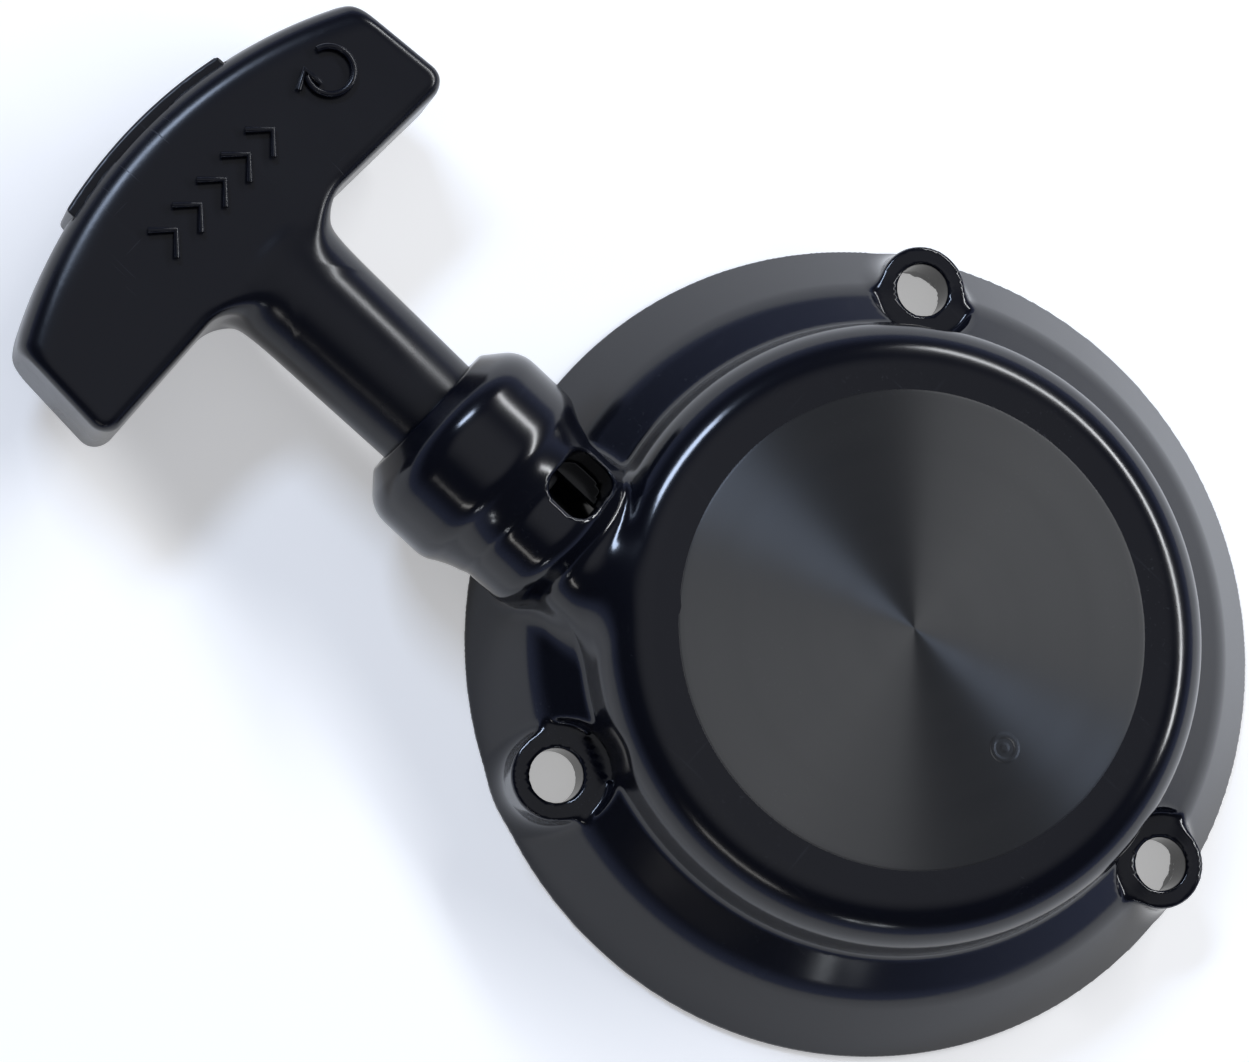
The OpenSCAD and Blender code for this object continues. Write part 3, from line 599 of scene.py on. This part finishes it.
def coverField(x, y, z):
    c = cover
    r = np.hypot(x, y)
    outer = outerSection(r, z)
    acrossRope, aboveRope = y - ropeY, z - ropeZ
    fromRope = np.hypot(acrossRope, aboveRope)
    ears, spots, holes, studs = (np.full(x.shape, 99.0) for _ in range(4))
    for i in range(c["ears"]):
        angle = math.radians(c["firstEar"] + 120 * i)
        fromEar = np.hypot(x - c["earCircle"] * math.cos(angle), y - c["earCircle"] * math.sin(angle))
        ears = np.minimum(ears, fromEar - c["earR"])
        spots = np.minimum(spots, fromEar - c["spotR"])
        holes = np.minimum(holes, fromEar - c["holeR"])
        studs = np.minimum(studs, fromEar - c["studR"])
    earBoss = roundShared(ears, z - c["padTop"], 0.5)
    shape = joined(outer, earBoss, c["earBlend"])
    neck = np.maximum(fromRope - c["neckR"], np.maximum(c["neckX"] - x, x - c["bossX"] - 3))
    shape = joined(shape, neck, c["neckBlend"])
    boss = roundShared(fromRope - c["outletR"], c["bossX"] - x, c["bossRound"])
    shape = joined(shape, np.maximum(boss, x - c["collarBack"] - 1), c["bossBlend"])
    shape = joined(shape, collarSection(fromRope, x), c["collarBlend"])
    shape = shared(shape, rimZ - z, 0.3)
    inner = innerSection(r, z)
    shape = without(shape, inner, 0.3)
    padBlock = spots - c["spotWall"]
    shape = np.minimum(shape, np.maximum(padBlock, np.maximum(-z, np.maximum(z - c["padTop"], outer))))
    for i in range(c["ribs"]):
        angle = math.radians(c["firstEar"] + 15 + 360 / c["ribs"] * i)
        alongRib = x * math.cos(angle) + y * math.sin(angle)
        acrossRib = np.abs(y * math.cos(angle) - x * math.sin(angle))
        ribEnds = np.maximum(c["ribInner"] - alongRib, alongRib - c["ribOuter"])
        rib = roundShared(acrossRib - c["ribHalf"], np.maximum(ribEnds, c["ribLow"] - z), c["ribRound"])
        rib = np.maximum(rib, outer + 0.5)
        shape = joined(shape, rib, 0.6)
    post = np.maximum(r - postR, np.maximum(postEndZ - z, z - c["roofZ"] - 1))
    shape = np.minimum(shape, post)
    postFoot = np.maximum(r - c["footR"], np.maximum(c["roofZ"] - 0.4 - z, z - c["roofZ"] - 1))
    shape = joined(shape, postFoot, 0.1)
    shape = without(shape, shared(spots, c["padTop"] - z, 0.9), 0.8)
    shape = without(shape, np.maximum(holes, -0.01 - z), 0.4)
    shape = np.maximum(shape, -np.maximum(studs, np.maximum(z, rimZ - 1 - z)))
    passage = rod(acrossRope, aboveRope, x, c["passageR"], 14.9, c["guideX"])
    windowEnds = np.abs(x - c["guideX"] + c["windowLong"] / 2) - c["windowLong"] / 2
    windowSides = np.abs(y - c["windowY"]) - c["windowHalf"]
    window = np.maximum(roundShared(windowEnds, windowSides, c["windowRound"]), -aboveRope)
    guideBore = rod(acrossRope, aboveRope, x, c["guideR"], c["guideX"] - 1, c["socketX"] + 1)
    room = np.minimum(joined(passage, window, 0.5), guideBore)
    shape = without(shape, room, 0.5)
    shape = without(shape, rod(acrossRope, aboveRope, x, c["socketR"], c["socketX"], 99), 0.8)
    shape = np.maximum(shape, -rod(x, y, z, c["screwR"], postEndZ - 1, postEndZ + 15))
    notch = np.maximum(c["notchX"][0] - x, x - c["notchX"][1])
    notch = np.maximum(notch, np.maximum(c["notchZ"][0] - z, z - c["notchZ"][1]))
    return np.maximum(shape, -np.maximum(notch, np.abs(y) - c["notchHalf"]))


coverStep = cover["voxel"]
coverSkin = skinOf("coverShell", coverField, coverLow, coverHigh, coverStep, coverPlastic)
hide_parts("housing")
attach(coverSkin, "cover")


def makeDisc(name, radius, low, high, material, rings=40, spokes=240):
    profile = [(radius * k / rings, high) for k in range(1, rings)] + [(radius, high - 0.02), (radius, low)]
    points = [(0.0, 0.0, high * mm), (0.0, 0.0, low * mm)]
    for r, z in profile:
        for angle in (turn * i / spokes for i in range(spokes)):
            points.append((r * mm * math.cos(angle), r * mm * math.sin(angle), z * mm))
    count = len(profile)
    faces = [(0, 2 + i, 2 + (i + 1) % spokes) for i in range(spokes)]
    for k in range(count - 1):
        a, b = 2 + k * spokes, 2 + (k + 1) * spokes
        faces += [(a + i, b + i, b + (i + 1) % spokes, a + (i + 1) % spokes) for i in range(spokes)]
    last = 2 + (count - 1) * spokes
    faces += [(1, last + (i + 1) % spokes, last + i) for i in range(spokes)]
    mesh = bpy.data.meshes.new(name)
    mesh.from_pydata(points, [], faces)
    mesh.materials.append(material)
    piece = bpy.data.objects.new(name, mesh)
    bpy.context.scene.collection.objects.link(piece)
    print(name, "made")
    return piece


discLow, discHigh = discSize["faceZ"] - 0.6, discSize["faceZ"] + 0.02
discPiece = makeDisc("turnedFaceDisc", discSize["discR"], discLow, discHigh, turnedDisc)
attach(discPiece, "cover")


# ---- grip ----

grip = {
    "crownR": 62, "barHalf": 7.5, "barDepth": 15.3, "endSlant": 1.1, "crownRound": 5, "edgeRound": 1.9,
    "cornerRound": 2.4, "stemR": 7.2, "stemRootR": 7.95, "stemRound": 1.1, "rootRound": 4.6, "stemHigh": 7.0,
    "rootDrop": 1.1, "boreR": 1.8, "roomHalf": 5, "voxel": 0.42,
    "capWidth": 26, "capHeight": 9, "capThick": 2.2, "capProud": 0.5, "capRound": 0.45,
}
crownX = float(boxInMm("grip_cap")[1][0]) - grip["capProud"]
halfWidth = (gripHigh[1] - gripLow[1]) / 2
stemX = gripLow[0]
barX = crownX - (grip["crownR"] - math.sqrt(grip["crownR"] ** 2 - halfWidth ** 2)) - grip["barDepth"] + 0.3
roomX = float(boxInMm("grip_washer")[0][0])
barSection = sectionField(roundedPath([
    (barX, -halfWidth, grip["cornerRound"]), (barX + grip["barDepth"], -halfWidth + grip["endSlant"], 2.2),
    (crownX + 4, -halfWidth + grip["endSlant"] + 6, 0), (crownX + 4, halfWidth - grip["endSlant"] - 6, 0),
    (barX + grip["barDepth"], halfWidth - grip["endSlant"], 2.2), (barX, halfWidth, grip["cornerRound"]),
    (barX + 0.9, grip["stemRootR"], grip["rootRound"]), (barX - 8, grip["stemRootR"] - 1.8, 0),
    (barX - 8, -grip["stemRootR"] + 1.8, 0), (barX + 0.9, -grip["stemRootR"], grip["rootRound"])]))


def capField(x, y, z, grow=0.0):
    across, above = y - ropeY, z - ropeZ
    fromCrown = np.hypot(x - crownX + grip["crownR"], across) - grip["crownR"]
    sides = np.maximum(np.abs(above) - grip["capHeight"] / 2, np.abs(across) - grip["capWidth"] / 2) - grow
    slab = roundShared(fromCrown - grip["capProud"] - grow, sides, grip["capRound"])
    return np.maximum(slab, -grip["capThick"] - grow - fromCrown)


def gripField(x, y, z):
    g = grip
    across, above = y - ropeY, z - ropeZ
    plan = barSection(x, across)
    crown = np.hypot(x - crownX + g["crownR"], across) - g["crownR"]
    intoBar = np.clip((x - barX + 5) / 6.5, 0, 1)
    intoBar = intoBar * intoBar * (3 - 2 * intoBar)
    thick = np.abs(above) - g["barHalf"] + g["rootDrop"] * (1 - intoBar)
    edge = 6.3 + (g["edgeRound"] - 6.3) * intoBar  # the stem's round eases into the bar's edge
    bar = shared(roundShared(plan, thick, edge), roundShared(crown, thick, g["crownRound"]), 1.2)
    bar = shared(bar, crown, 1.6)
    taper = g["stemR"] + (g["stemRootR"] - g["stemR"]) * np.clip((x - stemX) / (barX - stemX), 0, 1)
    stemSide = np.hypot(across, above * taper / g["stemHigh"]) - taper
    stem = roundShared(stemSide, np.maximum(stemX - x, x - barX - 2), g["stemRound"])
    shape = joined(bar, stem, 1.6)
    shape = without(shape, rod(across, above, x, g["boreR"], stemX - 2, 200), 0.5)
    room = np.maximum(np.maximum(np.abs(across), np.abs(above)) - g["roomHalf"], roomX - x)
    shape = np.maximum(shape, -room)
    return np.maximum(shape, -capField(x, y, z, 0.06))


gripStep = grip["voxel"]
gripSkin = skinOf("gripBody", gripField, gripLow, gripHigh, gripStep, gripPlastic)
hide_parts("grip")
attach(gripSkin, "handle")
capLow, capHigh = boxInMm("grip_cap")
capSkin = skinOf("gripCap", capField, capLow, capHigh, 0.3, gripPlastic)
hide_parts("grip_cap")
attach(capSkin, "handle")


# ---- what follows a path: rope, knots and raised marks ----

def buildSweep():
    group = bpy.data.node_groups.new("sweptAlongPath", "GeometryNodeTree")
    group.interface.new_socket(name="Geometry", in_out="INPUT", socket_type="NodeSocketGeometry")
    sockets = (("Radius", "NodeSocketFloat", 0.0015), ("Sides", "NodeSocketInt", 16), ("Copies", "NodeSocketInt", 1),
               ("Step", "NodeSocketVector", (0, 0, 0)), ("Finish", "NodeSocketMaterial", None))
    for label, kind, default in sockets:
        socket = group.interface.new_socket(name=label, in_out="INPUT", socket_type=kind)
        if default is not None:
            socket.default_value = default
    group.interface.new_socket(name="Geometry", in_out="OUTPUT", socket_type="NodeSocketGeometry")
    start, end = group.nodes.new("NodeGroupInput"), group.nodes.new("NodeGroupOutput")
    link = group.links.new
    path = put(group, "GeometryNodeMeshToCurve")
    link(start.outputs["Geometry"], path.inputs["Mesh"])
    length = put(group, "GeometryNodeSplineParameter")
    along = put(group, "GeometryNodeStoreNamedAttribute", data_type="FLOAT", domain="POINT")
    along.inputs["Name"].default_value = "ropeAlong"
    link(path.outputs["Curve"], along.inputs["Geometry"])
    link(length.outputs["Length"], along.inputs["Value"])
    ring = put(group, "GeometryNodeCurvePrimitiveCircle", mode="RADIUS")
    link(start.outputs["Sides"], ring.inputs["Resolution"])
    link(start.outputs["Radius"], ring.inputs["Radius"])
    angle = mathNode(group, "MULTIPLY", length.outputs["Factor"], turn)
    way = put(group, "ShaderNodeCombineXYZ")
    link(mathNode(group, "COSINE", angle), way.inputs["X"])
    link(mathNode(group, "SINE", angle), way.inputs["Y"])
    around = put(group, "GeometryNodeStoreNamedAttribute", data_type="FLOAT_VECTOR", domain="POINT")
    around.inputs["Name"].default_value = "ropeAround"
    link(ring.outputs["Curve"], around.inputs["Geometry"])
    link(way.outputs["Vector"], around.inputs["Value"])
    sweep = put(group, "GeometryNodeCurveToMesh")
    sweep.inputs["Fill Caps"].default_value = True
    link(along.outputs["Geometry"], sweep.inputs["Curve"])
    link(around.outputs["Geometry"], sweep.inputs["Profile Curve"])
    row = put(group, "GeometryNodeMeshLine", mode="OFFSET")
    link(start.outputs["Copies"], row.inputs["Count"])
    link(start.outputs["Step"], row.inputs["Offset"])
    copies = put(group, "GeometryNodeInstanceOnPoints")
    link(row.outputs["Mesh"], copies.inputs["Points"])
    link(sweep.outputs["Mesh"], copies.inputs["Instance"])
    real = put(group, "GeometryNodeRealizeInstances")
    link(copies.outputs["Instances"], real.inputs["Geometry"])
    finish = put(group, "GeometryNodeSetMaterial")
    link(real.outputs["Geometry"], finish.inputs["Geometry"])
    link(start.outputs["Finish"], finish.inputs["Material"])
    link(finish.outputs["Geometry"], end.inputs["Geometry"])
    return group


sweepGroup = buildSweep()


def swept(name, paths, radius, finish, closed=False, sides=18, copies=1, step=(0, 0, 0)):
    points, edges = [], []
    for path in paths:
        first, count = len(points), len(path)
        points += [tuple(float(v) * mm for v in p) for p in path]
        edges += [(first + i, first + i + 1) for i in range(count - 1)]
        if closed:
            edges.append((first + count - 1, first))
    wire = bpy.data.meshes.new(name + "Path")
    wire.from_pydata(points, edges, [])
    holder = bpy.data.objects.new(name + "Path", wire)
    bpy.context.scene.collection.objects.link(holder)
    modifier = holder.modifiers.new("sweep", "NODES")
    modifier.node_group = sweepGroup
    offset = tuple(v * mm for v in step)
    values = {"Radius": radius * mm, "Sides": sides, "Copies": copies, "Step": offset, "Finish": finish}
    for item in sweepGroup.interface.items_tree:
        if item.item_type == "SOCKET" and item.in_out == "INPUT" and item.name in values:
            modifier[item.identifier] = values[item.name]
    bpy.context.view_layer.update()
    mesh = bpy.data.meshes.new_from_object(holder.evaluated_get(bpy.context.evaluated_depsgraph_get()))
    bpy.data.objects.remove(holder)
    mesh.name = name
    mesh.polygons.foreach_set("use_smooth", np.ones(len(mesh.polygons), bool))
    piece = bpy.data.objects.new(name, mesh)
    bpy.context.scene.collection.objects.link(piece)
    print(name, "swept,", len(mesh.polygons), "faces")
    return piece


rope = {"layerStep": 2.6, "easeShare": 0.16, "leadRings": 320, "turns": 5, "knotTurn": 150, "pull": (45.0, 94.0)}

# the lead runs straight from the winding through the outlet and the stem
leadPath = [(x, ropeY, ropeZ) for x in np.linspace(leadLow[0], leadHigh[0], rope["leadRings"])]
lead = swept("ropeLead", [leadPath], ropeR, leadBraid, sides=24)
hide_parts("rope_lead")
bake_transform(lead)

# the winding: a little over five turns, two to a layer, then out towards the lead
layerR = woundHigh[0] - ropeR - 2 * rope["layerStep"]
lowZ, highZ = woundLow[2] + ropeR, woundHigh[2] - ropeR
places = [(layerR, highZ), (layerR, lowZ),
          (layerR + rope["layerStep"], lowZ), (layerR + rope["layerStep"], highZ),
          (layerR + 2 * rope["layerStep"], highZ), (layerR + 2 * rope["layerStep"], ropeZ)]
leaveX, leaveR = leadLow[0], math.hypot(leadLow[0], ropeY)
leaveTurn = math.degrees(math.atan2(ropeY, leaveX) + math.acos(places[-1][0] / leaveR))
sweepAngle = 360 * rope["turns"] + rope["knotTurn"] - leaveTurn
windingPath = []
for a in np.arange(0, sweepAngle, 4.0):
    k = int(a // 360)
    share = np.clip((a / 360 - k - 1 + rope["easeShare"]) / rope["easeShare"], 0, 1)
    share = share * share * (3 - 2 * share)
    here, after = places[k], places[min(k + 1, 5)]
    radius, height = (here[i] + (after[i] - here[i]) * share for i in (0, 1))
    angle = math.radians(rope["knotTurn"] - a)
    windingPath.append((radius * math.cos(angle), radius * math.sin(angle), height))
lastPoint, leavePoint = np.array(windingPath[-1]), np.array([leaveX, ropeY, ropeZ])
windingPath += [tuple(lastPoint + (leavePoint - lastPoint) * t) for t in (0.35, 0.7, 0.98)]
winding = swept("ropeWinding", [windingPath], ropeR, ropeBraid)
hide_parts("rope_wound")
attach(winding, "reel")


def knotPath(centre, across, up, size, depth, count=72):
    way = np.cross(across, up)
    t = np.linspace(0, turn, count, endpoint=False)
    u = (np.sin(t) + 2 * np.sin(2 * t)) * size / 3
    v = (np.cos(t) - 2 * np.cos(2 * t)) * size / 3
    w = -np.sin(3 * t) * depth
    centre, across, up = np.array(centre), np.array(across), np.array(up)
    return [tuple(centre + a * across + b * up + c * way) for a, b, c in zip(u, v, w)]


knotLow, knotHigh = boxInMm("grip_knot")
knotR = 1.3
gripKnotPath = knotPath((knotLow + knotHigh) / 2, (0, 1, 0), (0, 0, 1),
                        (knotHigh[1] - knotLow[1]) / 2 - knotR, (knotHigh[0] - knotLow[0]) / 2 - knotR)
gripKnot = swept("gripKnot", [gripKnotPath], knotR, ropeBraid, closed=True)
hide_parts("grip_knot")
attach(gripKnot, "handle")
reelKnotLow, reelKnotHigh = boxInMm("reel_knot")
reelKnotAt = (reelKnotLow + reelKnotHigh) / 2
reelKnotAt[2] = reelKnotHigh[2] - 1.5
reelKnotR, reelStubR = 1.1, 1.35
reelKnotPath = knotPath(reelKnotAt, (1, 0, 0), (0, 1, 0),
                        (reelKnotHigh[0] - reelKnotLow[0]) / 2 - reelKnotR, 0.35)
reelKnot = swept("reelKnot", [reelKnotPath], reelKnotR, ropeBraid, closed=True)
stubPath = [(reelKnotAt[0], reelKnotAt[1], z) for z in np.linspace(reelKnotLow[2], reelKnotAt[2], 8)]
reelStub = swept("reelKnotStub", [stubPath], reelStubR, ropeBraid)
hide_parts("reel_knot")
for piece in (reelKnot, reelStub):
    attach(piece, "reel")

# raised marks on the grip: a row of chevrons for the pull and a turning ring
marks = {"row": (95.5, 9.9), "chevrons": 5, "pitch": 4.2, "halfLong": 2.3, "halfWide": 1.2,
         "ringAt": (95.5, -1.3), "ringR": 2.9, "stroke": 0.4, "sunk": 0.1}
markZ = gripHigh[2] - marks["sunk"]
rowX, rowY = marks["row"]
chevron = [(rowX - marks["halfLong"], rowY + marks["halfWide"], markZ),
           (rowX, rowY - marks["halfWide"], markZ),
           (rowX + marks["halfLong"], rowY + marks["halfWide"], markZ)]
chevrons = swept("gripChevrons", [chevron], marks["stroke"], gripPlastic, sides=12,
                 copies=marks["chevrons"], step=(0, marks["pitch"], 0))
ringX, ringY = marks["ringAt"]
arcStart, arcEnd = math.radians(60), math.radians(345)
arc = [(ringX + marks["ringR"] * math.cos(a), ringY + marks["ringR"] * math.sin(a), markZ)
       for a in np.linspace(arcStart, arcEnd, 40)]
tip = np.array(arc[0])
heading = np.array([-math.sin(arcStart), math.cos(arcStart), 0]) * -1
sideways = np.array([heading[1], -heading[0], 0])
barbs = tip + heading * 0.2 - heading * 1.5
arrow = [tuple(barbs + sideways * 1.4), tuple(tip + heading * 0.9), tuple(barbs - sideways * 1.4)]
turnMark = swept("gripTurnMark", [arc, arrow], marks["stroke"], gripPlastic, sides=12)
for piece in (chevrons, turnMark):
    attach(piece, "handle")


# ---- materials on the pieces that keep their shape ----

finishes = {
    "rope_guide": darkNylon, "thrust_washer": naturalNylon, "grip_washer": zincPlate, "reel": reelNylon,
    "reel_bushing": oiledBronze, "recoil_spring": springSteel, "spring_plate": zincPlate,
    "pawl_1": sinteredSteel, "pawl_2": sinteredSteel, "pawl_pins": springSteel, "guide_plate": zincPlate,
    "friction_spring": springSteel, "retainer_washer": zincPlate, "centre_screw": zincPlate,
}
for node, finish in finishes.items():
    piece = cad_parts[node]
    piece.data.materials.clear()
    piece.data.materials.append(finish)
print("finishes on")


# ---- floor, light and camera ----

floorMesh = bpy.data.meshes.new("floor")
floorZ, reach = rimZ * mm, 2.5
floorPlan = ((-reach, -reach), (reach, -reach), (reach, reach), (-reach, reach))
floorMesh.from_pydata([(x, y, floorZ) for x, y in floorPlan], [], [(0, 1, 2, 3)])
floorLook, floorTree, floorShader = blankMaterial("paleFloor")
floorShader.inputs["Base Color"].default_value = (0.86, 0.86, 0.86, 1)
floorShader.inputs["Roughness"].default_value = 0.9
floorShader.inputs["Emission Color"].default_value = (1, 1, 1, 1)
floorShader.inputs["Emission Strength"].default_value = 0.38
floorMesh.materials.append(floorLook)
floor = bpy.data.objects.new("floor", floorMesh)
bpy.context.scene.collection.objects.link(floor)

cameraView = {"target": (32.03, 10.9, 0.0), "around": 74.3, "above": 74.94, "roll": 58.4,
              "distance": 546.8, "lens": 129.7}


def aimCamera(v):
    a, e, roll = (math.radians(v[k]) for k in ("around", "above", "roll"))
    back = Vector((math.cos(a) * math.cos(e), math.sin(a) * math.cos(e), math.sin(e)))
    level = Vector((0, 0, 1)).cross(back).normalized()
    upright = back.cross(level)
    right = level * math.cos(roll) + upright * math.sin(roll)
    up = back.cross(right)
    data = bpy.data.cameras.new("camera")
    data.lens, data.sensor_width, data.clip_start, data.clip_end = v["lens"], 36, 0.01, 20
    camera = bpy.data.objects.new("camera", data)
    bpy.context.scene.collection.objects.link(camera)
    place = Vector(v["target"]) * mm + back * v["distance"] * mm
    camera.matrix_world = Matrix((right, up, back)).transposed().to_4x4()
    camera.location = place
    bpy.context.scene.camera = camera


aimCamera(cameraView)

# each light: where it stands from the object's middle, its size, power and colour
lights = {
    "outletSide": {"at": (0.84, -0.23, 0.93), "size": (0.42, 0.18), "power": 7, "colour": (0.62, 0.75, 1.0)},
    "farSide": {"at": (-0.36, -1.08, 0.92), "size": (1.8, 0.12), "power": 17, "colour": (0.95, 0.97, 1.0)},
    "nearStrip": {"at": (-0.36, 1.35, 0.85), "size": (0.62, 0.07), "power": 1.1, "colour": (1.0, 0.98, 0.95)},
    "nearLamp": {"at": (-0.82, 0.78, 0.42), "size": (0.045, 0.045), "power": 0.14,
                 "colour": (0.9, 0.95, 1.0)},
    "nearLampTwo": {"at": (-0.90, 0.69, 0.42), "size": (0.045, 0.045), "power": 0.14,
                    "colour": (0.9, 0.95, 1.0)},
}
for name, light in lights.items():
    data = bpy.data.lights.new(name, "AREA")
    data.shape, data.size, data.size_y = "RECTANGLE", *light["size"]
    data.energy, data.color = light["power"], light["colour"]
    lamp = bpy.data.objects.new(name, data)
    bpy.context.scene.collection.objects.link(lamp)
    lamp.location = Vector(light["at"]) + Vector((0.03, 0.01, 0.0))
    lamp.rotation_euler = (Vector((0.03, 0.01, 0.005)) - lamp.location).to_track_quat("-Z", "Y").to_euler()

world = bpy.data.worlds.new("studio")
world.use_nodes = True
skyTree = world.node_tree
skyTree.nodes.clear()
skyCoord = put(skyTree, "ShaderNodeTexCoord")
skySplit = put(skyTree, "ShaderNodeSeparateXYZ")
skyTree.links.new(skyCoord.outputs["Generated"], skySplit.inputs["Vector"])
aboveHorizon = ramp(skyTree, skySplit.outputs["Z"], 0.03, 0.44)
nearZenith = ramp(skyTree, skySplit.outputs["Z"], 0.80, 0.99)
skyShade = mixColours(skyTree, aboveHorizon, (0.30, 0.36, 0.62, 1), (0.035, 0.037, 0.045, 1))
skyShade = mixColours(skyTree, nearZenith, skyShade, (0.42, 0.43, 0.46, 1))
background = put(skyTree, "ShaderNodeBackground")
skyTree.links.new(skyShade, background.inputs["Color"])
background.inputs["Strength"].default_value = 1.0
skyTree.links.new(background.outputs["Background"], put(skyTree, "ShaderNodeOutputWorld").inputs["Surface"])
bpy.context.scene.world = world
bpy.context.scene.view_settings.view_transform = "Standard"
print("studio set")
